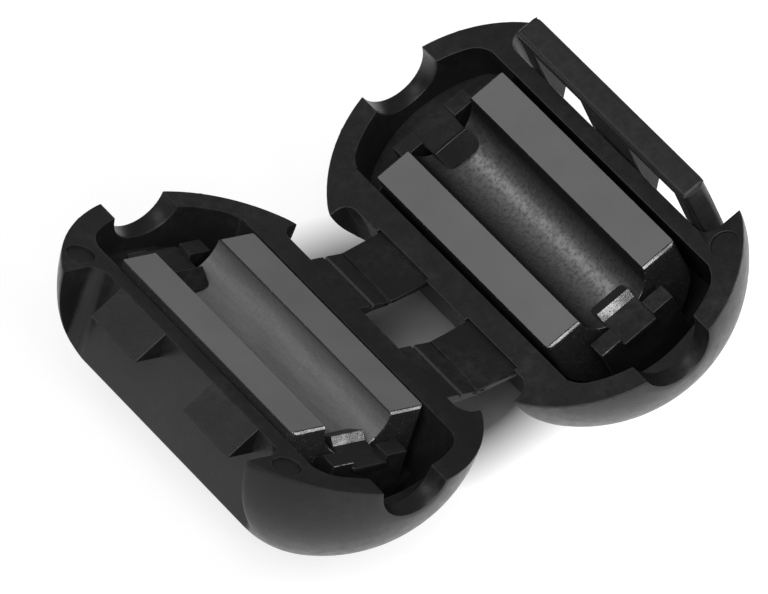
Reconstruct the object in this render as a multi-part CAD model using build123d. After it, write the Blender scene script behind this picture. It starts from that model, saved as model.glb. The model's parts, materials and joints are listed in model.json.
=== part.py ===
"""Clip-on ferrite bead for a round cable, lying open on its two rounded halves.

The cable runs along Y. The catch half lies on the -X side and the latch half on the +X side, and they
meet at a living hinge over X = 0. Z = 0 is the surface that the two halves rest on.
Each half is drawn in its own frame: the cable axis is Y, the closing plane is Z = 0, the hollow opens to +Z.
"""
from build123d import *
import os
from math import asin, atan2, cos, degrees, hypot, radians, sin, sqrt, tan

# Ferrite half cores
core_width = 10.5
core_length = 18.85
core_depth = 7.4
core_flank_depth = 3.4
core_corner_radius = 0.4
core_end_bevel = 0.18
core_groove_radius = 2.6

# Case halves: a cylinder with domed ends, cut at the rim
case_length = 31.65
dome_step = 1.0
shoulder_blend = 4.0
wall = 1.6
notch_radius = 2.5
rim_setback = 0.3
core_face_setback = 0.03
core_side_gap = 0.45
core_offset = 0.29
core_shift = 0.5
core_seat_gap = 0.02
latch_wall = 1.15
hinge_wall = 1.95
rim_band_depth = 3.5
rim_band_corner_radius = 2.0
cone_inset = 0.07
recess_corner_radius = 1.0

# Cradle ribs under each core
rib_height = 0.52
rib_thickness = 1.2
rib_spacing = 11.0

# End clips that hold each core down
clip_gap = 0.7
clip_thickness = 1.25
cleat_width = 1.65
cleat_depth = 1.6
tongue_width = 2.6
tongue_reach = 1.85
tongue_tip_depth = 2.3
tongue_ridge_reach = 0.65
tongue_ridge_depth = 1.5
tongue_ramp = 0.46
tongue_overhang = 0.2
tongue_gap = 0.05

# Marks of the ejector pins on the rim's corner pads
mark_radius = 0.95
mark_depth = 0.18
mark_edge_offset = 1.4
mark_end_offset = 1.3

# Latch loop and the teeth that it snaps over
loop_height = 3.55
bar_height = 0.95
bar_thickness = 1.8
post_root_depth = 3.6
post_root_thickness = 0.35
post_knee_depth = 1.6
post_knee_thickness = 1.65
loop_lean = 2.5
middle_post_width = 4.9
end_post_width = 1.45
window_length = 5.2
loop_root_gap = 0.05
loop_end_gap = 0.9
loop_far_room = 1.5
loop_edge_radius = 0.3
tooth_side_gap = 0.12
tooth_reach = 1.85
tooth_land = 0.1
latch_play = 0.1

# Living hinge: two straps with a window between them, folding over one line
fold_clearance = 1.0
fold_drop = 0.4
strap_width = 5.3
strap_window = 4.3
strap_shift = -0.75
strap_thickness = 0.55
strap_root_drop = 0.35
strap_relief = 0.25
strap_film = 0.3
strap_shelf = 1.2
strap_shelf_drop = 0.1
strap_groove_width = 0.3
strap_groove_depth = 0.25
fold_gap = 0.03
mean_tilt = 20.25

# Turn of the inner cones towards the tip, as shares of the quarter turn
cone_turn_shares = (0, 1 / 4, 1)

# Overrun of every cut, and how far joined pieces run into each other
overrun = 1.0
root = 0.3

# Sizes that follow from these
rim_z = -rim_setback
core_face_z = -core_face_setback
case_radius = core_face_setback + core_depth + rib_height + wall
dome_radius = case_radius + dome_step
cavity_width = core_width + 2 * core_side_gap
latch_flat_offset = cavity_width / 2 - core_offset + latch_wall
hinge_flat_offset = cavity_width / 2 + core_offset + hinge_wall
fold_reach = case_radius + fold_clearance
dome_centre = case_length / 2 - dome_radius
loop_length = middle_post_width + 2 * (window_length + end_post_width)
recess_length = loop_length + 2 * loop_end_gap
mark_offset_x = cavity_width / 2 + mark_edge_offset
mark_offset_y = recess_length / 2 + mark_end_offset
clip_start = core_length / 2 + clip_gap
clip_end = clip_start + clip_thickness
bar_under_z = rim_z + loop_height - bar_height
window_centre = (middle_post_width + window_length) / 2
strap_centre = (strap_window + strap_width) / 2
strap_places = (strap_shift - strap_centre, strap_shift + strap_centre)
rib_places = (-rib_spacing / 2, rib_spacing / 2)
fold_arm = hypot(fold_reach, fold_drop)
fold_angle = degrees(atan2(fold_drop, fold_reach))
half_spread = fold_arm * cos(radians(mean_tilt))


def drawn_along_cable(outline, start, length):
    """A solid whose X-Z section is the outline, from the place start along Y."""
    return extrude(Plane.XZ.offset(-start - length) * outline, length)


def section(*points):
    """A straight-sided X-Z section."""
    return make_face(Polyline(*points, close=True))


def block(x_range, y_range, z_range):
    """A rectangular block between three pairs of limits."""
    sizes = [high - low for low, high in (x_range, y_range, z_range)]
    middle = [(high + low) / 2 for low, high in (x_range, y_range, z_range)]
    return Pos(*middle) * Box(*sizes)


def rod(radius, length):
    """A round bar along the cable axis."""
    return Rot(90, 0, 0) * Cylinder(radius, length)


def ovoid(inset):
    """The whole body of revolution about the cable axis, drawn in all round by the inset."""
    side = case_radius - inset
    dome = dome_radius - inset
    blend = shoulder_blend - inset
    blend_y = dome_centre + sqrt((dome - blend) ** 2 - (side - blend) ** 2)
    outward = Vector(side - blend, blend_y - dome_centre).normalized()
    meet = Vector(0, dome_centre) + outward * dome
    tip = Vector(0, dome_centre + dome)
    shoulder = TangentArc((side, blend_y), meet, tangent=(0, 1))
    cap = TangentArc(meet, tip, tangent=(-outward.Y, outward.X))
    quarter = [shoulder, cap]
    outline = quarter + [mirror(edge, Plane.XZ) for edge in quarter]
    outline += [Line((side, -blend_y), (side, blend_y)), Line(-tip, tip)]
    return revolve(make_face(outline), Axis.Y, 360)


def core_section(grow):
    """D-shaped section of a half core without its groove, grown all round by a clearance."""
    half = core_width / 2 + grow
    flank = -core_flank_depth
    bottom = core_face_z - core_depth - grow
    flat = Polyline((-half, flank), (-half, core_face_z), (half, core_face_z), (half, flank))
    bed = ThreePointArc((half, flank), (0, bottom), (-half, flank))
    return make_face([*flat.edges(), bed])


def ferrite_core():
    """A half core: flat lands on each side of a half-round groove, bevelled at both ends."""
    core = drawn_along_cable(core_section(0), -core_length / 2, core_length)
    core -= rod(core_groove_radius, core_length + overrun)
    ends = core.edges().filter_by(Axis.X).group_by(Axis.Z)[-1]
    core = chamfer(ends, core_end_bevel)
    return fillet(core.edges().filter_by(Axis.Z), core_corner_radius)


def hollow(middle):
    """Room inside a half: a barrel with coned ends, and a round-ended band just under the rim."""
    dome = dome_radius - wall
    cone = dome - cone_inset
    corner = asin((case_radius - wall) / cone)
    steps = [corner * (1 - turn) for turn in cone_turn_shares]
    quarter = [Vector(cone * sin(a), dome_centre + cone * cos(a)) for a in steps]
    outline = [Vector(v.X, -v.Y) for v in reversed(quarter)] + quarter
    barrel = revolve(make_face(Polyline(*outline, close=True)), Axis.Y, 360)
    reach = case_radius + overrun
    left = middle - cavity_width / 2
    right = middle + cavity_width / 2
    room = barrel & block((left, right), (-case_length, case_length), (-reach, reach))
    left_bend = dome_centre + sqrt(dome**2 - left**2)
    right_bend = dome_centre + sqrt(dome**2 - right**2)
    tip = dome_centre + dome
    band = [
        Line((left, left_bend), (left, -left_bend)),
        ThreePointArc((left, -left_bend), (0, -tip), (right, -right_bend)),
        Line((right, -right_bend), (right, right_bend)),
        ThreePointArc((right, right_bend), (0, tip), (left, left_bend)),
    ]
    outline = make_face(band)
    outline = fillet(outline.vertices(), rim_band_corner_radius)
    return room + extrude(outline, rim_band_depth, both=True)


def end_clip(end):
    """Cross wall, two cleats and a barbed tongue over the groove at one end of the core."""
    low = -case_radius
    plate_z = -tongue_ridge_depth - tongue_ramp
    y_range = sorted((end * clip_start, end * clip_end))
    outer = tongue_width / 2 + cleat_width
    clip = block((-outer, outer), y_range, (low, plate_z))
    for side in (-1, 1):
        x_range = sorted((side * tongue_width / 2, side * outer))
        clip += block(x_range, y_range, (low, -cleat_depth))
    core_end = core_length / 2
    ridge = core_end - tongue_ridge_reach
    profile = Polyline(
        (end * (core_end - tongue_reach), -tongue_tip_depth),
        (end * ridge, -tongue_ridge_depth),
        (end * (ridge + tongue_ramp), plate_z),
        (end * (clip_end + tongue_overhang), plate_z),
        (end * (clip_end + tongue_overhang), -core_groove_radius),
        (end * (core_end - tongue_reach), -core_groove_radius),
        close=True,
    )
    tongue = extrude(Plane.YZ * make_face(profile), tongue_width / 2, both=True)
    return clip + (tongue & rod(core_groove_radius - tongue_gap, case_length))


def half_shell(hinge_side, far_room, marks):
    """A half of the case: hollow, cable notches, flats, ribs, clips and ejector marks."""
    reach = case_radius + overrun
    inner = ovoid(wall / 2)
    core_place = Pos(hinge_side * core_offset, core_shift, 0)
    shell = ovoid(0) - hollow(hinge_side * core_offset)
    shell -= rod(notch_radius, case_length + overrun)
    shell = shell & block((-reach, reach), (-case_length, case_length), (-reach, rim_z))
    for side, offset, room in ((hinge_side, hinge_flat_offset, 0), (-hinge_side, latch_flat_offset, far_room)):
        x_range = sorted((side * offset, side * (reach + recess_corner_radius)))
        recess = block(x_range, (-recess_length / 2, recess_length / 2 + room), (-reach, reach))
        shell -= fillet(recess.edges().filter_by(Axis.Z), recess_corner_radius)
    seat = drawn_along_cable(core_section(core_seat_gap), -core_length / 2, core_length)
    for y in rib_places:
        y_range = (y - rib_thickness / 2, y + rib_thickness / 2)
        rib = block((-core_width / 2, core_width / 2), y_range, (-reach, -core_flank_depth))
        shell += (core_place * (rib - seat)) & inner
    for end in (-1, 1):
        shell += (core_place * end_clip(end)) & inner
    for x_side, y_side in marks:
        place = (x_side * mark_offset_x, y_side * mark_offset_y, rim_z)
        shell -= Pos(*place) * Cylinder(mark_radius, 2 * mark_depth)
    return shell


def strap_pair(outline):
    """Two straps with the same section, one on each side of the hinge window."""
    straps = [drawn_along_cable(outline, y - strap_width / 2, strap_width) for y in strap_places]
    return straps[0] + straps[1]


def catch_straps():
    """Straps of the catch half: a shelf at the rim, a score line, and a leaf out to the fold."""
    start = hinge_flat_offset - root
    score = hinge_flat_offset + strap_shelf
    shelf_z = rim_z - strap_shelf_drop
    lip = fold_reach - fold_gap
    return strap_pair(
        section(
            (start, shelf_z),
            (score - strap_groove_width / 2, shelf_z),
            (score, shelf_z - strap_groove_depth),
            (score + strap_groove_width / 2, shelf_z),
            (lip, -fold_drop - fold_gap),
            (lip, -fold_drop - fold_gap - strap_film),
            (score, shelf_z - strap_thickness),
            (start, shelf_z - 2 * strap_thickness),
        )
    )


def strap_reliefs():
    """Shallow steps in the latch half's wall over its straps, from the rim down to their roots."""
    x_range = (-hinge_flat_offset - overrun, strap_relief - hinge_flat_offset)
    z_range = (rim_z - strap_root_drop, rim_z + overrun)
    steps = [block(x_range, (y - strap_width / 2, y + strap_width / 2), z_range) for y in strap_places]
    return steps[0] + steps[1]


def latch_straps():
    """Straps of the latch half: leaves that rise from its wall below the rim to the fold."""
    start = root - hinge_flat_offset
    lip = fold_gap - fold_reach
    top = rim_z - strap_root_drop
    return strap_pair(
        section(
            (start, top),
            (lip, fold_drop - fold_gap),
            (lip, fold_drop - fold_gap - strap_film),
            (start, top - strap_thickness),
        )
    )


def catch_teeth():
    """Two wedge teeth on the catch half's flat, sloping out from the rim to a square underside."""
    face = -latch_flat_offset
    tip = face - tooth_reach
    under = latch_play - bar_under_z
    outline = section(
        (face + root, rim_z),
        (face, rim_z),
        (tip, under + tooth_land),
        (tip, under),
        (face + root, under),
    )
    length = window_length - 2 * tooth_side_gap
    teeth = [drawn_along_cable(outline, y - length / 2, length) for y in (-window_centre, window_centre)]
    return teeth[0] + teeth[1]


def latch_loop():
    """Three tapering posts along the latch half's flat that carry the snap bar above the rim."""
    face = latch_flat_offset + loop_root_gap
    top = rim_z + loop_height
    lean = tan(radians(loop_lean))
    crown = face + lean * loop_height
    foot = rim_z - post_root_depth
    side_view = section(
        (face, foot),
        (face, rim_z),
        (crown, top),
        (crown + bar_thickness, top),
        (face + post_knee_thickness, rim_z - post_knee_depth),
        (face + post_root_thickness, foot),
    )
    loop = drawn_along_cable(side_view, -loop_length / 2, loop_length)
    loop = fillet(loop.faces().sort_by(Axis.Z)[-1].edges(), loop_edge_radius)
    for y in (-window_centre, window_centre):
        y_range = (y - window_length / 2, y + window_length / 2)
        loop -= block((face - overrun, crown + bar_thickness + overrun), y_range, (foot - overrun, bar_under_z))
    return loop


catch_place = Pos(-half_spread, 0, case_radius) * Rot(0, mean_tilt - fold_angle, 0)
latch_place = Pos(half_spread, 0, case_radius) * Rot(0, -mean_tilt - fold_angle, 0)
catch_marks = ((-1, -1), (-1, 1))
latch_marks = ((1, -1),)
nodes = {
    "catch_half_shell": catch_place * (half_shell(1, 0, catch_marks) + catch_straps() + catch_teeth()),
    "latch_half_shell": latch_place * (half_shell(-1, loop_far_room, latch_marks) - strap_reliefs() + latch_straps()),
    "latch_loop": latch_place * latch_loop(),
    "catch_ferrite_half": catch_place * Pos(core_offset, core_shift, 0) * ferrite_core(),
    "latch_ferrite_half": latch_place * Pos(-core_offset, core_shift, 0) * ferrite_core(),
}
os.makedirs("parts", exist_ok=True)
for name, solid in nodes.items():
    export_step(solid, f"parts/{name}.step")
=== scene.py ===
"""Dresses the open clip-on ferrite bead: moulded black case halves, snap loop and sintered half cores."""
import json
import math

import bmesh
import bpy
from mathutils import Matrix, Vector
from mathutils.bvhtree import BVHTree


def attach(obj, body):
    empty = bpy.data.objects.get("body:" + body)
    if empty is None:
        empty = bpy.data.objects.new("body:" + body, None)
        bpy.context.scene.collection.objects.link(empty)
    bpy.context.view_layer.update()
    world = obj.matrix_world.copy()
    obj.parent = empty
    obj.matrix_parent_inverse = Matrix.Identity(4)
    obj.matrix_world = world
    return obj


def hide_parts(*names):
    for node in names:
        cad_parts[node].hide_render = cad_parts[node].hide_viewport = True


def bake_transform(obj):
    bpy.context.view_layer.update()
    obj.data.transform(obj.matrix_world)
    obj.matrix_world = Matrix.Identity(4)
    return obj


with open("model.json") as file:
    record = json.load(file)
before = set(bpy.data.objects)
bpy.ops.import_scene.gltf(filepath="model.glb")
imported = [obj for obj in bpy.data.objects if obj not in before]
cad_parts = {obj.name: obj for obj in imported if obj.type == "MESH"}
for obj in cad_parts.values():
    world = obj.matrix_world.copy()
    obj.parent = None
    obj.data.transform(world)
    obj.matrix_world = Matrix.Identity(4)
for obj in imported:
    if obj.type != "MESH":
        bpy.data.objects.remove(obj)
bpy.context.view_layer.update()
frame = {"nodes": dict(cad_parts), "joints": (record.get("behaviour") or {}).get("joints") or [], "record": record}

bl_info = {
    "name": "Clip-on ferrite bead",
    "version": (1, 0, 0),
    "blender": (4, 5, 0),
    "location": "View3D > Sidebar > Ferrite bead",
    "description": "Finishes the moulded case, the snap loop and the ferrite half cores of a cable clamp",
    "category": "Object",
}

RECORD = frame["record"]
JOINTS = {joint["name"]: joint for joint in frame["joints"]}
MOUNTS = {mount["name"]: mount for mount in RECORD["mounts"]}
NOTCH_RADIUS = MOUNTS["catch_near_cable_notch"]["dims"]["r_mm"] / 1000

# Bands of the noise fields that the finishes read
NOISE_BAND = (0.3, 0.7)
BLOOM_CLOUDS = (0.42, 0.7)
BLOOM_SCUFFS = (0.4, 0.72)
# The band that sets where the painted edge highlight shows
EDGE_GLINT_BAND = (0.35, 0.65)
GROOVE_PITS = (0.38, 0.55)
PATCH_BAND = (0.45, 0.58)
SPECK_EDGE = 0.12

# Share of the grain that is specks, how strongly specks and pores show, and the range of roughness
MOULD_SPECKS = 0.4
LAND_SPECKS, LAND_BRIGHT, LAND_PORES, LAND_ROUGH = 0.36, 0.2, 0.4, (0.5, 0.62)
FIRED_SPECKS, FIRED_BRIGHT, FIRED_PORES, FIRED_ROUGH = 0.38, 0.3, 0.5, (0.5, 0.7)
# Bright grains painted as a glint on the cores' near bevels and the near barbs
CHIP_SPECKS, GLINT_LIGHT, CHIP_PATCHES, CHIP_ROUGH = 0.44, 1.9, 0.9, (0.2, 0.45)
STREAK_STRETCH = (1.0, 0.12, 1.0)
PIT_RELIEF = 2.0
PIT_POLISH = 0.45

# Polish of each half's groove, and the shares of its depth from which its walls, painted darker as shade, turn to
# the bottom; the catch half's groove is a lighter copy, painted light
LIT_POLISH, LIT_WALLS = 0.1, (-0.15, 0.5)
FIRED_POLISH, FIRED_WALLS = 1.0, (0.45, 0.98)

# Which faces of a half's clips are barb slopes: shares of the notches' distance, and parts of the normal
CLIP_REACH = (0.4, 0.75)
BARB_FRONT, BARB_RISE = -0.4, 0.3

# Which faces of a core are lands, near bevels and groove: parts of the normal in the half's frame
LAND_RISE = 0.9999
BEVEL_RISE, BEVEL_FRONT = 0.5, -0.5
GROOVE_RISE, GROOVE_SLANT = 0.05, 0.3

EDGE_STEPS = 2
CORE_EDGE_STEPS = 1
LOOP_END_STEPS = 5
GROOVE_STEPS = 36
FILM_COLUMNS = (-1.0, -0.6, -0.25, 0.25, 0.6, 1.0)

# Soft lights: direction from the part, width in metres and power in watts
LIGHT_DISTANCE = 0.6
LIGHTS = {
    "key_light": ((-0.43, -0.25, 0.87), 0.5, 3.0),
    "far_light": ((-0.5, 0.58, 0.64), 0.2, 0.3),
    "right_light": ((0.76, -0.54, 0.36), 0.2, 0.8),
    "front_light": ((-0.12, -0.81, 0.575), 0.15, 0.45),
}
FLOOR_FRONT = (0.7, -0.7, 0.0)
WHITE = (1.0, 1.0, 1.0)


def half_frame(half):
    """A half's own frame in the row: the cable axis along Y, the closing plane at Z = 0."""
    core = frame["nodes"][f"{half}_ferrite_half"].data
    land = max((face for face in core.polygons if face.normal.z > 0.8), key=lambda face: face.area)
    x, _, z = MOUNTS[f"{half}_near_cable_notch"]["pos_m"]
    tilt = math.atan2(land.normal.x, land.normal.z)
    return Matrix.Translation((x, 0, z)) @ Matrix.Rotation(tilt, 4, "Y")


HALF_FRAMES = {half: half_frame(half) for half in ("catch", "latch")}


class BeadEdgeSettings(bpy.types.PropertyGroup):
    """How far the edges of the pieces are broken."""

    merge: bpy.props.FloatProperty(
        name="Merge distance", description="Corners of the solids closer than this become one",
        default=0.0000005, precision=7, unit="LENGTH")
    case_radius: bpy.props.FloatProperty(
        name="Case edge radius", description="Rounding of the moulded case's edges",
        default=0.00007, precision=6, unit="LENGTH")
    loop_radius: bpy.props.FloatProperty(
        name="Loop edge radius", description="Rounding of the snap loop's edges",
        default=0.0001, precision=6, unit="LENGTH")
    loop_end_radius: bpy.props.FloatProperty(
        name="Loop end radius", description="Rounding of the snap loop's two ends, seen from above",
        default=0.00055, precision=6, unit="LENGTH")
    fold_width: bpy.props.FloatProperty(
        name="Fold width", description="Width of the thin strip that folds between the straps",
        default=0.0009, precision=6, unit="LENGTH")
    fold_film: bpy.props.FloatProperty(
        name="Fold film", description="Thickness of the folding strip",
        default=0.00012, precision=6, unit="LENGTH")
    fold_depth: bpy.props.FloatProperty(
        name="Fold depth", description="How far the folding strip lies under the top of the straps",
        default=0.00006, precision=6, unit="LENGTH")
    core_radius: bpy.props.FloatProperty(
        name="Core edge radius", description="Rounding of the ferrite's fired edges",
        default=0.00004, precision=6, unit="LENGTH")
    sharp_angle: bpy.props.FloatProperty(
        name="Sharp angle", description="Edges that turn by more than this are rounded",
        default=math.radians(28), subtype="ANGLE")
    flat_angle: bpy.props.FloatProperty(
        name="Flat angle", description="Faces that turn by less than this become one face",
        default=math.radians(0.2), subtype="ANGLE")


class BeadFinishSettings(bpy.types.PropertyGroup):
    """Colours and textures of the case and the cores."""

    plastic: bpy.props.FloatVectorProperty(
        name="Plastic", description="Colour of the moulded case",
        default=(0.011, 0.0108, 0.0113), subtype="COLOR", size=3)
    # Also the colour of the painted highlight on the case's rounded edges
    plastic_light: bpy.props.FloatVectorProperty(
        name="Plastic bloom", description="Colour of the case where it is rubbed or bloomed",
        default=(0.026, 0.026, 0.0265), subtype="COLOR", size=3)
    plastic_roughness: bpy.props.FloatProperty(
        name="Plastic roughness", description="Roughness of the moulded case",
        default=0.32, subtype="FACTOR")
    plastic_gloss: bpy.props.FloatProperty(
        name="Plastic gloss", description="Specular level of the moulded case",
        default=0.3, subtype="FACTOR")
    barb_gloss: bpy.props.FloatProperty(
        name="Barb gloss", description="Specular level of the far clips' barbs",
        default=0.03, subtype="FACTOR")
    bloom_size: bpy.props.FloatProperty(
        name="Bloom size", description="Size of the pale clouds on the case",
        default=0.0035, precision=6, unit="LENGTH")
    scuff_size: bpy.props.FloatProperty(
        name="Scuff size", description="Size of the scuffs on the case",
        default=0.0007, precision=6, unit="LENGTH")
    grain_size: bpy.props.FloatProperty(
        name="Moulded grain", description="Size of the mould texture's grain on the case",
        default=0.00016, precision=6, unit="LENGTH")
    grain_depth: bpy.props.FloatProperty(
        name="Grain depth", description="Depth of the mould texture",
        default=0.00001, precision=7, unit="LENGTH")
    land: bpy.props.FloatVectorProperty(
        name="Ground ferrite", description="Colour of the cores' ground mating faces",
        default=(0.118, 0.118, 0.12), subtype="COLOR", size=3)
    fired: bpy.props.FloatVectorProperty(
        name="Fired ferrite", description="Colour of the cores' fired faces",
        default=(0.022, 0.022, 0.023), subtype="COLOR", size=3)
    # Painted light: a lighter copy of the fired colour that the catch core's groove takes for the brighter light
    # on it, not wear from a cable
    paler: bpy.props.FloatVectorProperty(
        name="Worn ferrite", description="Colour of the catch core's groove, rubbed by the cable",
        default=(0.118, 0.118, 0.119), subtype="COLOR", size=3)
    speck: bpy.props.FloatVectorProperty(
        name="Ferrite speck", description="Colour of the bright grains in the ferrite",
        default=(0.45, 0.45, 0.45), subtype="COLOR", size=3)
    speck_size: bpy.props.FloatProperty(
        name="Speck size", description="Size of the ferrite's grains",
        default=0.00012, precision=6, unit="LENGTH")
    land_cloud: bpy.props.FloatProperty(
        name="Land clouds", description="Size of the faint clouds on the ground faces",
        default=0.004, precision=6, unit="LENGTH")
    land_depth: bpy.props.FloatProperty(
        name="Land depth", description="Depth of the grain on the ground faces",
        default=0.000003, precision=7, unit="LENGTH")
    streak_size: bpy.props.FloatProperty(
        name="Streak size", description="Width of the streaks along the cable on the fired faces",
        default=0.0006, precision=6, unit="LENGTH")
    pit_size: bpy.props.FloatProperty(
        name="Pit size", description="Size of the pits in the grooves",
        default=0.0003, precision=6, unit="LENGTH")
    fired_depth: bpy.props.FloatProperty(
        name="Fired depth", description="Depth of the grain on the fired faces",
        default=0.00003, precision=7, unit="LENGTH")
    fired_gloss: bpy.props.FloatProperty(
        name="Fired gloss", description="Specular level of the fired faces",
        default=0.2, subtype="FACTOR")
    polish_roughness: bpy.props.FloatProperty(
        name="Polish roughness", description="Roughness of the polish in the grooves",
        default=0.42, subtype="FACTOR")
    polish_index: bpy.props.FloatProperty(
        name="Polish index", description="Refractive index of the polish in the grooves", default=2.7)
    # Dull patches break up the painted glint on the glinting slopes
    chip_patch: bpy.props.FloatProperty(
        name="Chip patches", description="Size of the dull patches on the chipped slopes",
        default=0.0011, precision=6, unit="LENGTH")
    chip_depth: bpy.props.FloatProperty(
        name="Chip depth", description="Depth of the grain on the chipped slopes",
        default=0.00004, precision=7, unit="LENGTH")
    chip_index: bpy.props.FloatProperty(
        name="Chip index", description="Refractive index of the broken grains", default=2.3)
    # The span across a near barb over which its painted glint fades; it is not scuffing
    glint_fade_start: bpy.props.FloatProperty(
        name="Scuff start", description="Place across a near barb where its scuffing starts to fade",
        default=-0.0005, precision=6, unit="LENGTH")
    glint_fade_end: bpy.props.FloatProperty(
        name="Scuff end", description="Place across a near barb where its scuffing has faded",
        default=0.0003, precision=6, unit="LENGTH")


class BeadStageSettings(bpy.types.PropertyGroup):
    """Floor, lights and camera."""

    floor_size: bpy.props.FloatProperty(
        name="Floor size", description="Width of the floor", default=3.0, unit="LENGTH")
    floor_colour: bpy.props.FloatVectorProperty(
        name="Floor", description="Colour of the floor", default=(0.30, 0.30, 0.30), subtype="COLOR", size=3)
    floor_lift: bpy.props.FloatProperty(
        name="Floor lift", description="Brightness that the open floor shows to the eye beyond its lit colour",
        default=0.75)
    # Painted light: the lift grows toward the right front so that the part mirrors a brighter floor there
    painted_floor_glow: bpy.props.FloatProperty(
        name="Floor glow", description="The same brightness at the floor's right front, where it is most",
        default=1.0)
    # Painted shade in reflections: the far left floor is mirrored dimmer
    floor_fade: bpy.props.FloatProperty(
        name="Floor fade", description="Share of the lift that the floor's far left mirrors in the part",
        default=0.3, subtype="FACTOR", min=0.0, max=1.0)
    fade_start: bpy.props.FloatProperty(
        name="Fade start", description="Place across the floor from which the mirrored lift fades to the left",
        default=-0.028, precision=4, unit="LENGTH")
    fade_end: bpy.props.FloatProperty(
        name="Fade end", description="Place across the floor at which the mirrored lift has faded",
        default=-0.055, precision=4, unit="LENGTH")
    # Painted shade: round this middle the floor's lift is taken away, darkening the floor near the part
    painted_shade_centre: bpy.props.FloatVectorProperty(
        name="Shade centre", description="Middle of the shade that the part leaves on the floor",
        default=(0.001, 0.0025, 0.0), subtype="XYZ", size=3)
    painted_shade_core: bpy.props.FloatProperty(
        name="Shade core", description="Distance from the shade's middle up to which the floor isn't lifted",
        default=0.009, precision=4, unit="LENGTH")
    painted_shade_reach: bpy.props.FloatProperty(
        name="Shade reach", description="Distance from the shade's middle at which the floor is fully lifted",
        default=0.013, precision=4, unit="LENGTH")
    world_strength: bpy.props.FloatProperty(
        name="Room light", description="Strength of the soft light from all round", default=0.15)
    camera_azimuth: bpy.props.FloatProperty(
        name="Camera azimuth", description="Turn of the camera round the part",
        default=math.radians(-35.55), subtype="ANGLE")
    camera_elevation: bpy.props.FloatProperty(
        name="Camera elevation", description="Height of the camera above the horizon",
        default=math.radians(44.90), subtype="ANGLE")
    camera_roll: bpy.props.FloatProperty(
        name="Camera roll", description="Turn of the camera about its line of sight",
        default=math.radians(0.65), subtype="ANGLE")
    camera_distance: bpy.props.FloatProperty(
        name="Camera distance", description="Distance from the camera to its target",
        default=0.8994, unit="LENGTH")
    camera_target: bpy.props.FloatVectorProperty(
        name="Camera target", description="Point in the middle of the picture",
        default=(0.00004, 0.00212, 0.00568), subtype="XYZ", size=3)
    camera_lens: bpy.props.FloatProperty(
        name="Lens", description="Focal length of the camera in millimetres", default=670.2)


def settings():
    """The add-on's three groups of settings."""
    scene = bpy.context.scene
    return scene.bead_edges, scene.bead_finish, scene.bead_stage


# Node helpers
def add_node(tree, kind, **values):
    """A node with its properties, and its inputs given by name, set."""
    node = tree.nodes.new(kind)
    inputs = values.pop("inputs", {})
    for key, value in values.items():
        setattr(node, key, value)
    for key, value in inputs.items():
        if isinstance(value, bpy.types.NodeSocket):
            tree.links.new(value, node.inputs[key])
        else:
            node.inputs[key].default_value = value
    return node


def opaque(colour):
    """A colour with full alpha."""
    return (*colour, 1.0)


def new_material(name):
    """An empty node material with its tree, output and Principled shader."""
    material = bpy.data.materials.new(name)
    material.use_nodes = True
    tree = material.node_tree
    tree.nodes.clear()
    output = tree.nodes.new("ShaderNodeOutputMaterial")
    shader = tree.nodes.new("ShaderNodeBsdfPrincipled")
    tree.links.new(shader.outputs["BSDF"], output.inputs["Surface"])
    return material, tree, shader


def noise(tree, vector, size, detail=2.0, rough=0.5):
    """A noise field whose features have the given size in metres."""
    return add_node(tree, "ShaderNodeTexNoise", inputs={
        "Vector": vector, "Scale": 1 / size, "Detail": detail, "Roughness": rough}).outputs["Fac"]


def spread(tree, value, low, high, to_low=0.0, to_high=1.0):
    """A value's range from low to high, spread over another range and clamped."""
    return add_node(tree, "ShaderNodeMapRange", inputs={
        "Value": value, "From Min": low, "From Max": high,
        "To Min": to_low, "To Max": to_high}).outputs["Result"]


def mixed(tree, mask, first, second):
    """The first colour where the mask is 0 and the second where it is 1."""
    node = add_node(tree, "ShaderNodeMix", data_type="RGBA")
    tree.links.new(mask, node.inputs["Factor"])
    for socket, value in ((node.inputs[6], first), (node.inputs[7], second)):
        if isinstance(value, bpy.types.NodeSocket):
            tree.links.new(value, socket)
        else:
            socket.default_value = opaque(value)
    return node.outputs[2]


def combined(tree, kind, first, second):
    """Two values put together by a math node."""
    return add_node(tree, "ShaderNodeMath", operation=kind, inputs={0: first, 1: second}).outputs[0]


def group_tree(name, inputs, outputs):
    """A new shader group with its sockets, and its input and output nodes."""
    tree = bpy.data.node_groups.new(name, "ShaderNodeTree")
    for label, kind in inputs:
        tree.interface.new_socket(label, in_out="INPUT", socket_type=kind)
    for label, kind in outputs:
        tree.interface.new_socket(label, in_out="OUTPUT", socket_type=kind)
    return tree, tree.nodes.new("NodeGroupInput"), tree.nodes.new("NodeGroupOutput")


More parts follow.
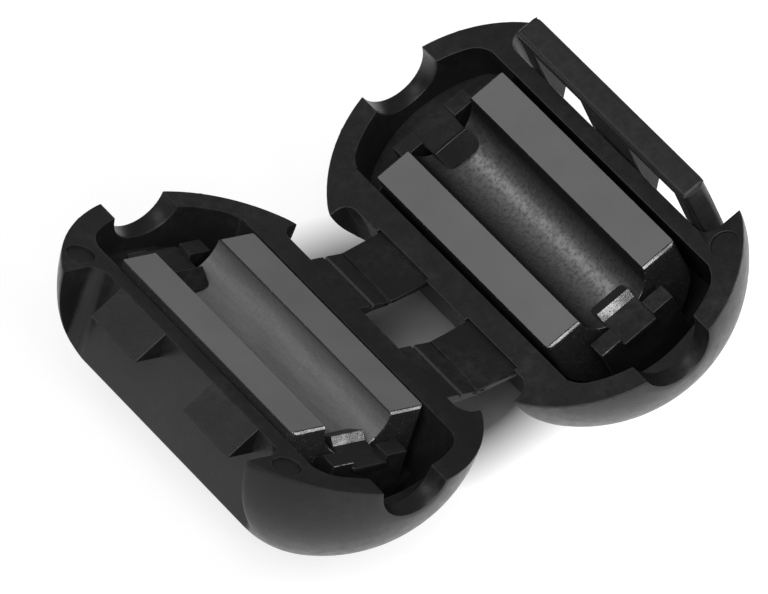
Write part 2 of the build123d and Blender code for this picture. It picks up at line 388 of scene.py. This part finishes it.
def speck_group():
    """Bright and dark grains of a sintered or moulded surface, with their height."""
    if "fine_specks" in bpy.data.node_groups:
        return bpy.data.node_groups["fine_specks"]
    tree, given, out = group_tree(
        "fine_specks",
        (("Vector", "NodeSocketVector"), ("Scale", "NodeSocketFloat"), ("Share", "NodeSocketFloat")),
        (("Bright", "NodeSocketFloat"), ("Dark", "NodeSocketFloat"), ("Height", "NodeSocketFloat")))
    fine = add_node(tree, "ShaderNodeTexNoise", inputs={
        "Vector": given.outputs["Vector"], "Scale": given.outputs["Scale"], "Detail": 3.0, "Roughness": 0.65})
    limit = combined(tree, "SUBTRACT", 1.0, given.outputs["Share"])
    top = combined(tree, "ADD", limit, SPECK_EDGE)
    bright = add_node(tree, "ShaderNodeMapRange", inputs={
        "Value": fine.outputs["Fac"], "From Min": limit, "From Max": top})
    dark_top = combined(tree, "SUBTRACT", given.outputs["Share"], SPECK_EDGE)
    dark = add_node(tree, "ShaderNodeMapRange", inputs={
        "Value": fine.outputs["Fac"], "From Min": given.outputs["Share"], "From Max": dark_top})
    tree.links.new(bright.outputs["Result"], out.inputs["Bright"])
    tree.links.new(dark.outputs["Result"], out.inputs["Dark"])
    tree.links.new(fine.outputs["Fac"], out.inputs["Height"])
    return tree


def specks(tree, vector, size, share):
    """The speck group placed in a material."""
    return add_node(tree, "ShaderNodeGroup", node_tree=speck_group(), inputs={
        "Vector": vector, "Scale": 1 / size, "Share": share})


def bump(tree, height, depth):
    """A bump normal of the given depth in metres."""
    return add_node(tree, "ShaderNodeBump", inputs={
        "Height": height, "Strength": 1.0, "Distance": depth}).outputs["Normal"]


def shaded(colour, share):
    """A colour made darker or lighter by a share."""
    return [channel * share for channel in colour]


def along(tree, place, direction):
    """How far a place lies along a direction."""
    return add_node(tree, "ShaderNodeVectorMath", operation="DOT_PRODUCT", inputs={
        0: place, 1: direction}).outputs["Value"]


def case_plastic(name, gloss, paler=0.0):
    """Satin black moulding with a fine mould texture, pale clouds and rounded edges painted paler as a highlight;
    its last argument pales the rest too.
    """
    finish = settings()[1]
    material, tree, shader = new_material(name)
    place = add_node(tree, "ShaderNodeTexCoord").outputs["Object"]
    edge = add_node(tree, "ShaderNodeAttribute", attribute_name="edge_glint").outputs["Fac"]
    cloud = noise(tree, place, finish.bloom_size, 3.0)
    scuff = noise(tree, place, finish.scuff_size, 4.0, 0.7)
    grain = specks(tree, place, finish.grain_size, MOULD_SPECKS)
    bloom = combined(tree, "MULTIPLY", spread(tree, cloud, *BLOOM_CLOUDS), spread(tree, scuff, *BLOOM_SCUFFS))
    bloom = combined(tree, "MAXIMUM", bloom, spread(tree, scuff, *NOISE_BAND, paler / 2, paler))
    colour = mixed(tree, bloom, finish.plastic, finish.plastic_light)
    # Painted highlight: the rounded edges are made paler in patches, standing for the light they catch
    glint_mask = combined(tree, "MULTIPLY", edge, spread(tree, scuff, *EDGE_GLINT_BAND, 0.3, 1.0))
    tree.links.new(mixed(tree, glint_mask, colour, finish.plastic_light), shader.inputs["Base Color"])
    smooth, rough = finish.plastic_roughness - 0.05, finish.plastic_roughness + 0.08
    tree.links.new(spread(tree, scuff, *NOISE_BAND, smooth, rough), shader.inputs["Roughness"])
    tree.links.new(bump(tree, grain.outputs["Height"], finish.grain_depth), shader.inputs["Normal"])
    shader.inputs["IOR"].default_value = 1.5
    shader.inputs["Specular IOR Level"].default_value = gloss
    return material


def ground_ferrite():
    """The cores' mating faces: ground flat, even grey, with pores and bright grains."""
    finish = settings()[1]
    material, tree, shader = new_material("ground_ferrite")
    place = add_node(tree, "ShaderNodeTexCoord").outputs["Object"]
    grain = specks(tree, place, finish.speck_size, LAND_SPECKS)
    cloud = noise(tree, place, finish.land_cloud, 3.0)
    tone = mixed(tree, spread(tree, cloud, *NOISE_BAND), shaded(finish.land, 0.94), shaded(finish.land, 1.06))
    dotted = mixed(tree, combined(tree, "MULTIPLY", grain.outputs["Bright"], LAND_BRIGHT), tone, finish.speck)
    pored = mixed(tree, combined(tree, "MULTIPLY", grain.outputs["Dark"], LAND_PORES), dotted, finish.fired)
    tree.links.new(pored, shader.inputs["Base Color"])
    tree.links.new(spread(tree, grain.outputs["Height"], *NOISE_BAND, *LAND_ROUGH), shader.inputs["Roughness"])
    tree.links.new(bump(tree, grain.outputs["Height"], finish.land_depth), shader.inputs["Normal"])
    return material


def depth_share(tree, place, half, start, end):
    """A half core's depth under its lands as a share of the groove's, spread from 0 at start to 1 at end."""
    up = HALF_FRAMES[half].col[2].to_3d()
    level = up.dot(HALF_FRAMES[half].translation)
    return spread(tree, along(tree, place, up), level - start * NOTCH_RADIUS, level - end * NOTCH_RADIUS)


def fired_ferrite(name, colour, polish=0.0, walls=None):
    """The cores' fired faces, streaked along the cable; a groove has walls painted darker as shade, pits and a
    polished bottom.
    """
    finish = settings()[1]
    material, tree, shader = new_material(name)
    place = add_node(tree, "ShaderNodeTexCoord").outputs["Object"]
    glinting_edge = add_node(tree, "ShaderNodeAttribute", attribute_name="edge_glint").outputs["Fac"]
    drawn = add_node(tree, "ShaderNodeMapping", inputs={
        "Vector": place, "Scale": STREAK_STRETCH}).outputs["Vector"]
    streak = noise(tree, drawn, finish.streak_size, 3.0)
    dim = shaded(colour, 0.3)
    grain = specks(tree, place, finish.speck_size, FIRED_SPECKS)
    tone = mixed(tree, spread(tree, streak, *NOISE_BAND), shaded(colour, 0.85), shaded(colour, 1.15))
    dotted = mixed(tree, combined(tree, "MULTIPLY", grain.outputs["Bright"], FIRED_BRIGHT), tone, finish.speck)
    pored = mixed(tree, combined(tree, "MULTIPLY", grain.outputs["Dark"], FIRED_PORES), dotted, dim)
    relief = grain.outputs["Height"]
    if walls:
        deep = depth_share(tree, place, *walls)
        pits = noise(tree, place, finish.pit_size, 4.0, 0.7)
        relief = combined(tree, "ADD", relief, combined(tree, "MULTIPLY", pits, PIT_RELIEF))
        # Painted shade: the walls turn to the dim colour towards the lands, for the shade that falls there
        pored = mixed(tree, deep, dim, pored)
        shine = combined(tree, "MULTIPLY", deep, spread(tree, pits, *GROOVE_PITS, polish * PIT_POLISH, polish))
        tree.links.new(shine, shader.inputs["Coat Weight"])
        shader.inputs["Coat Roughness"].default_value = finish.polish_roughness
        shader.inputs["Coat IOR"].default_value = finish.polish_index
    # Bright grains on the rounded edges: partly chips, partly a painted highlight
    chips_and_glint = combined(tree, "MULTIPLY", glinting_edge, grain.outputs["Bright"])
    tree.links.new(mixed(tree, chips_and_glint, pored, finish.speck), shader.inputs["Base Color"])
    tree.links.new(spread(tree, grain.outputs["Height"], *NOISE_BAND, *FIRED_ROUGH), shader.inputs["Roughness"])
    tree.links.new(bump(tree, relief, finish.fired_depth), shader.inputs["Normal"])
    shader.inputs["Specular IOR Level"].default_value = finish.fired_gloss
    return material


def glint_grains(name, half=None):
    """Rough slopes with bright grains as a painted highlight: along a core's near end, where the grains are partly
    chips, and on the left of a half's near barb.
    """
    finish = settings()[1]
    material, tree, shader = new_material(name)
    place = add_node(tree, "ShaderNodeTexCoord").outputs["Object"]
    grain = specks(tree, place, finish.speck_size, CHIP_SPECKS)
    # Painted highlight: the grains run far above the speck colour, standing for the light the slopes catch
    tone = mixed(tree, grain.outputs["Bright"], finish.speck, shaded(finish.speck, GLINT_LIGHT))
    patch = spread(tree, noise(tree, place, finish.chip_patch), *PATCH_BAND, 0.0, CHIP_PATCHES)
    # On a barb the painted glint fades out across the slope, leaving only its left part lit
    if half:
        across = HALF_FRAMES[half].to_3x3().col[0]
        middle = HALF_FRAMES[half].translation.dot(across)
        no_glint = spread(tree, along(tree, place, across), middle + finish.glint_fade_start, middle + finish.glint_fade_end)
        patch = combined(tree, "MAXIMUM", patch, no_glint)
    whole = combined(tree, "MAXIMUM", grain.outputs["Dark"], patch)
    under = finish.plastic_light if half else finish.land
    tree.links.new(mixed(tree, whole, tone, under), shader.inputs["Base Color"])
    tree.links.new(spread(tree, grain.outputs["Height"], *NOISE_BAND, *CHIP_ROUGH), shader.inputs["Roughness"])
    tree.links.new(bump(tree, grain.outputs["Height"], finish.chip_depth), shader.inputs["Normal"])
    shader.inputs["IOR"].default_value = finish.chip_index
    return material


# Pieces
def merged_copy(node):
    """A bmesh of a CAD node with its triangles joined and its flat areas made whole."""
    edges = settings()[0]
    bm = bmesh.new()
    bm.from_mesh(frame["nodes"][node].data)
    bmesh.ops.remove_doubles(bm, verts=bm.verts, dist=edges.merge)
    bmesh.ops.dissolve_limit(bm, angle_limit=edges.flat_angle, verts=bm.verts, edges=bm.edges)
    return bm


def break_edges(bm, radius, segments):
    """Rounds the sharp outer edges and marks the new faces for the painted edge highlight."""
    limit = settings()[0].sharp_angle
    sharp = [e for e in bm.edges if e.is_manifold and e.calc_face_angle() > limit]
    outer = [e for e in sharp if e.is_convex]
    glint_mask = bm.faces.layers.float.new("edge_glint")
    made = bmesh.ops.bevel(
        bm, geom=outer, offset=radius, offset_type="OFFSET", segments=segments, profile=0.5,
        affect="EDGES", clamp_overlap=False, material=-1)
    for face in made["faces"]:
        face[glint_mask] = 1.0
    for face in bm.faces:
        face.smooth = True
    for edge in bm.edges:
        if edge.is_manifold and edge.calc_face_angle() > limit:
            edge.smooth = False


def finished_piece(name, bm, node, body, materials, weighted=True):
    """A new object from the bmesh that stands for a CAD node, rides on its body and has its finish."""
    mesh = bpy.data.meshes.new(name)
    bm.to_mesh(mesh)
    bm.free()
    piece = bpy.data.objects.new(name, mesh)
    bpy.context.scene.collection.objects.link(piece)
    for material in materials:
        mesh.materials.append(material)
    if weighted:
        even = piece.modifiers.new("even_normals", "WEIGHTED_NORMAL")
        even.keep_sharp = True
    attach(piece, body)
    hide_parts(node)
    return piece


def round_ends(bm, half, radius, steps):
    """Rounds the two ends of a bar along Y in plan, seen from the half's own frame."""
    place = HALF_FRAMES[half]
    local = place.inverted()
    across = place.col[0].to_3d()
    spots = [local @ v.co for v in bm.verts]
    low, high = min(p.x for p in spots), max(p.x for p in spots)
    end = max(p.y for p in spots)
    cuts = [radius * (1 - math.cos(math.radians(90 * k / steps))) for k in range(1, steps + 1)]
    for x in [low + c for c in cuts] + [high - c for c in cuts]:
        bmesh.ops.bisect_plane(bm, geom=[*bm.verts, *bm.edges, *bm.faces], dist=settings()[0].merge,
                               plane_co=place @ Vector((x, 0, 0)), plane_no=across)
    for v in bm.verts:
        p = local @ v.co
        inset = radius - min(p.x - low, high - p.x, radius)
        limit = end - radius + math.sqrt(max(radius**2 - inset**2, 0))
        v.co.y = max(-limit, min(limit, v.co.y))


def strap_edges(bm, fold):
    """The places along Y of the straps' edges at the fold."""
    near = settings()[0].fold_width / 4
    places = sorted(v.co.y for v in bm.verts if abs(v.co.x) < near and abs(v.co.z - fold.z) < 4 * near)
    return [y for k, y in enumerate(places) if k == 0 or y - places[k - 1] > near]


class DressCaseHalves(bpy.types.Operator):
    """Finish the two moulded halves of the case"""

    bl_idname = "bead.dress_case_halves"
    bl_label = "Case halves"

    def execute(self, context):
        plastic = case_plastic("case_moulding", context.scene.bead_finish.plastic_gloss)
        dull = case_plastic("dull_barb", context.scene.bead_finish.barb_gloss)
        for half in ("catch", "latch"):
            bm = merged_copy(f"{half}_half_shell")
            break_edges(bm, context.scene.bead_edges.case_radius, EDGE_STEPS)
            self.mark_barbs(bm, half)
            # The near barbs get a painted highlight of bright grains
            glinting_barb = glint_grains(f"{half}_glint_barb", half)
            finished_piece(f"{half}_half_case", bm, f"{half}_half_shell", f"{half}_half",
                           [plastic, glinting_barb, dull])
        self.hinge_films(context.scene.bead_edges, plastic)
        return {"FINISHED"}

    def mark_barbs(self, bm, half):
        """Gives the clips' barb slopes their materials: a painted glint at the near end, dull at the far end."""
        place = HALF_FRAMES[half].inverted()
        reach = -MOUNTS[f"{half}_near_cable_notch"]["pos_m"][1]
        for face in bm.faces:
            face.normal_update()
            facing = place.to_3x3() @ face.normal
            spot = place @ face.calc_center_median()
            on_clip = abs(spot.x) < NOTCH_RADIUS and CLIP_REACH[0] < abs(spot.y) / reach < CLIP_REACH[1]
            if on_clip and facing.y < BARB_FRONT and facing.z > BARB_RISE:
                face.material_index = 1 if spot.y < 0 else 2

    def hinge_films(self, edges, plastic):
        """The thin strips that join the straps of the two halves at the fold, as pieces of their own."""
        fold = Vector(JOINTS["living_hinge"]["pos_m"])
        shells = {half: merged_copy(f"{half}_half_shell") for half in ("catch", "latch")}
        trees = {half: BVHTree.FromBMesh(bm) for half, bm in shells.items()}
        strip = edges.fold_width / 2
        columns = [strip * share for share in FILM_COLUMNS]
        borders = strap_edges(shells["catch"], fold)
        for number, (start, end) in enumerate(zip(borders[::2], borders[1::2]), 1):
            bm = bmesh.new()
            rows = []
            for y in (start, end):
                row = []
                for x in columns:
                    above = Vector((x, (start + end) / 2, fold.z + 10 * strip))
                    top = trees["catch" if x < 0 else "latch"].ray_cast(above, Vector((0, 0, -1)))[0].z
                    row.append(bm.verts.new((x, y, top - edges.fold_depth)))
                rows.append(row)
            for k in range(len(columns) - 1):
                bm.faces.new((rows[0][k], rows[0][k + 1], rows[1][k + 1], rows[1][k]))
            bmesh.ops.recalc_face_normals(bm, faces=bm.faces)
            if bm.faces[:][0].normal.z < 0:
                bmesh.ops.reverse_faces(bm, faces=bm.faces)
            skin = bmesh.ops.extrude_face_region(bm, geom=bm.faces[:])
            lower = [v for v in skin["geom"] if isinstance(v, bmesh.types.BMVert)]
            bmesh.ops.translate(bm, verts=lower, vec=(0, 0, -edges.fold_film))
            bmesh.ops.recalc_face_normals(bm, faces=bm.faces)
            for face in bm.faces:
                face.smooth = True
            mesh = bpy.data.meshes.new(f"hinge_film_{number}")
            bm.to_mesh(mesh)
            bm.free()
            film = bpy.data.objects.new(mesh.name, mesh)
            bpy.context.scene.collection.objects.link(film)
            mesh.materials.append(plastic)
            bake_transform(film)
        for bm in shells.values():
            bm.free()


class DressSnapLoop(bpy.types.Operator):
    """Finish the latch loop that snaps over the catch teeth"""

    bl_idname = "bead.dress_snap_loop"
    bl_label = "Snap loop"

    def execute(self, context):
        bm = merged_copy("latch_loop")
        round_ends(bm, "latch", context.scene.bead_edges.loop_end_radius, LOOP_END_STEPS)
        break_edges(bm, context.scene.bead_edges.loop_radius, EDGE_STEPS)
        plastic = case_plastic("loop_moulding", context.scene.bead_finish.plastic_gloss, paler=1.0)
        finished_piece("snap_loop", bm, "latch_loop", "snap_loop", [plastic])
        return {"FINISHED"}


class DressFerriteCores(bpy.types.Operator):
    """Finish the two ferrite half cores"""

    bl_idname = "bead.dress_ferrite_cores"
    bl_label = "Ferrite cores"

    def execute(self, context):
        finish = context.scene.bead_finish
        land = ground_ferrite()
        pressed = fired_ferrite("pressed_ferrite", finish.fired)
        # The near bevels' bright grains: partly chips, partly a painted highlight
        chips_and_glint = glint_grains("ferrite_chips_glint")
        grooves = {
            # The catch groove's lighter colour is painted light; both grooves' walls are painted darker as shade
            "catch": fired_ferrite("lit_groove", finish.paler, LIT_POLISH, ("catch", *LIT_WALLS)),
            "latch": fired_ferrite("fired_groove", finish.fired, FIRED_POLISH, ("latch", *FIRED_WALLS)),
        }
        for half, groove in grooves.items():
            bm = merged_copy(f"{half}_ferrite_half")
            self.round_groove(bm, half, GROOVE_STEPS)
            break_edges(bm, context.scene.bead_edges.core_radius, CORE_EDGE_STEPS)
            self.sort_faces(bm, half)
            finished_piece(f"{half}_core", bm, f"{half}_ferrite_half", f"{half}_half",
                           [land, groove, chips_and_glint, pressed], weighted=False)
        return {"FINISHED"}

    def sort_faces(self, bm, half):
        """Gives the lands, the groove, the near bevels and the other faces their own materials."""
        turn = HALF_FRAMES[half].to_3x3().transposed()
        for face in bm.faces:
            face.normal_update()
            facing = turn @ face.normal
            if facing.z > LAND_RISE:
                face.material_index = 0
            elif facing.z > BEVEL_RISE and facing.y < BEVEL_FRONT:
                face.material_index = 2
            else:
                in_groove = facing.z > GROOVE_RISE and abs(facing.y) < GROOVE_SLANT
                face.material_index = 1 if in_groove else 3
        for edge in bm.edges:
            if 0 in {face.material_index for face in edge.link_faces}:
                edge.smooth = False

    def round_groove(self, bm, half, steps):
        """Cuts the groove's facets along the cable and sets the new corners on the round."""
        place = HALF_FRAMES[half]
        local = place.inverted()
        spots = [local @ v.co for v in bm.verts]
        middle = (min(p.x for p in spots) + max(p.x for p in spots)) / 2
        radius = min(math.hypot(p.x - middle, p.z) for p in spots)
        for k in range(1, steps):
            angle = math.pi * k / steps
            bmesh.ops.bisect_plane(
                bm, geom=[*bm.verts, *bm.edges, *bm.faces], dist=settings()[0].merge,
                plane_co=place @ Vector((middle, 0, 0)),
                plane_no=place.to_3x3() @ Vector((math.sin(angle), 0, math.cos(angle))))
        for v in bm.verts:
            p = local @ v.co
            reach = math.hypot(p.x - middle, p.z)
            if reach < radius and p.z < 0:
                v.co = place @ Vector((middle + (p.x - middle) * radius / reach, p.y, p.z * radius / reach))


class BuildStage(bpy.types.Operator):
    """Add the pale floor, the soft lights and the camera"""

    bl_idname = "bead.build_stage"
    bl_label = "Stage"

    def execute(self, context):
        stage = context.scene.bead_stage
        self.floor(stage)
        self.room(stage)
        target = Vector(stage.camera_target)
        for name, light in LIGHTS.items():
            self.softbox(name, target, *light)
        self.camera(stage)
        context.scene.view_settings.view_transform = "Standard"
        return {"FINISHED"}

    def floor(self, stage):
        """The plain floor, lifted to white for the eye and in reflections; close to the part the lift is taken
        away as a painted shade, toward the right front it grows into a painted glow for the part's reflections,
        and in reflections it fades to the far left.
        """
        bm = bmesh.new()
        bmesh.ops.create_grid(bm, x_segments=1, y_segments=1, size=stage.floor_size / 2)
        mesh = bpy.data.meshes.new("floor")
        bm.to_mesh(mesh)
        bm.free()
        floor = bpy.data.objects.new("floor", mesh)
        bpy.context.scene.collection.objects.link(floor)
        material, tree, shader = new_material("floor_white")
        shader.inputs["Base Color"].default_value = opaque(stage.floor_colour)
        shader.inputs["Roughness"].default_value = 0.9
        shader.inputs["Specular IOR Level"].default_value = 0.0
        path = add_node(tree, "ShaderNodeLightPath")
        mirrored = combined(tree, "MAXIMUM", path.outputs["Is Glossy Ray"], path.outputs["Is Transmission Ray"])
        place = add_node(tree, "ShaderNodeTexCoord").outputs["Object"]
        away = add_node(tree, "ShaderNodeVectorMath", operation="DISTANCE", inputs={
            0: place, 1: stage.painted_shade_centre}).outputs["Value"]
        front = along(tree, place, FLOOR_FRONT)
        # Painted shade round the part, and a painted glow toward the right front
        lift = combined(
            tree, "MULTIPLY", spread(tree, away, stage.painted_shade_core, stage.painted_shade_reach),
            spread(tree, front, -stage.painted_shade_reach / 2, stage.painted_shade_reach, stage.floor_lift, stage.painted_floor_glow))
        faded = spread(tree, front, stage.fade_end, stage.fade_start, stage.floor_fade, 1.0)
        seen = combined(
            tree, "MAXIMUM", path.outputs["Is Camera Ray"], combined(tree, "MULTIPLY", mirrored, faded))
        tree.links.new(combined(tree, "MULTIPLY", seen, lift), shader.inputs["Emission Strength"])
        shader.inputs["Emission Color"].default_value = opaque(WHITE)
        mesh.materials.append(material)

    def room(self, stage):
        """The even light from all round."""
        world = bpy.data.worlds.new("room")
        world.use_nodes = True
        background = world.node_tree.nodes["Background"]
        background.inputs["Color"].default_value = opaque(WHITE)
        background.inputs["Strength"].default_value = stage.world_strength
        bpy.context.scene.world = world

    def softbox(self, name, target, direction, size, power):
        """A square soft light that faces the part."""
        light = bpy.data.lights.new(name, "AREA")
        light.size = size
        light.energy = power
        box = bpy.data.objects.new(name, light)
        away = Vector(direction).normalized()
        box.location = target + away * LIGHT_DISTANCE
        box.rotation_euler = away.to_track_quat("Z", "Y").to_euler()
        bpy.context.scene.collection.objects.link(box)

    def camera(self, stage):
        """The camera at the picture's angle."""
        lens = bpy.data.cameras.new("camera")
        lens.lens = stage.camera_lens
        camera = bpy.data.objects.new("camera", lens)
        level = math.cos(stage.camera_elevation)
        back = Vector((math.sin(stage.camera_azimuth) * level, -math.cos(stage.camera_azimuth) * level,
                       math.sin(stage.camera_elevation)))
        camera.location = Vector(stage.camera_target) + back * stage.camera_distance
        turn = back.to_track_quat("Z", "Y").to_matrix() @ Matrix.Rotation(stage.camera_roll, 3, "Z")
        camera.rotation_euler = turn.to_euler()
        bpy.context.scene.collection.objects.link(camera)
        bpy.context.scene.camera = camera


class VIEW3D_PT_ferrite_bead(bpy.types.Panel):
    """The bead's operators in the sidebar"""

    bl_label = "Ferrite bead"
    bl_space_type = "VIEW_3D"
    bl_region_type = "UI"
    bl_category = "Ferrite bead"

    def draw(self, context):
        for operator in OPERATORS:
            self.layout.operator(operator.bl_idname)


OPERATORS = (DressCaseHalves, DressSnapLoop, DressFerriteCores, BuildStage)
GROUPS = {"bead_edges": BeadEdgeSettings, "bead_finish": BeadFinishSettings, "bead_stage": BeadStageSettings}
CLASSES = (*GROUPS.values(), *OPERATORS, VIEW3D_PT_ferrite_bead)


def register():
    for cls in CLASSES:
        bpy.utils.register_class(cls)
    for name, group in GROUPS.items():
        setattr(bpy.types.Scene, name, bpy.props.PointerProperty(type=group))


def unregister():
    for name in GROUPS:
        delattr(bpy.types.Scene, name)
    for cls in reversed(CLASSES):
        bpy.utils.unregister_class(cls)


def main():
    register()
    bpy.ops.bead.dress_case_halves()
    bpy.ops.bead.dress_snap_loop()
    bpy.ops.bead.dress_ferrite_cores()
    bpy.ops.bead.build_stage()


if __name__ == "__main__":
    main()
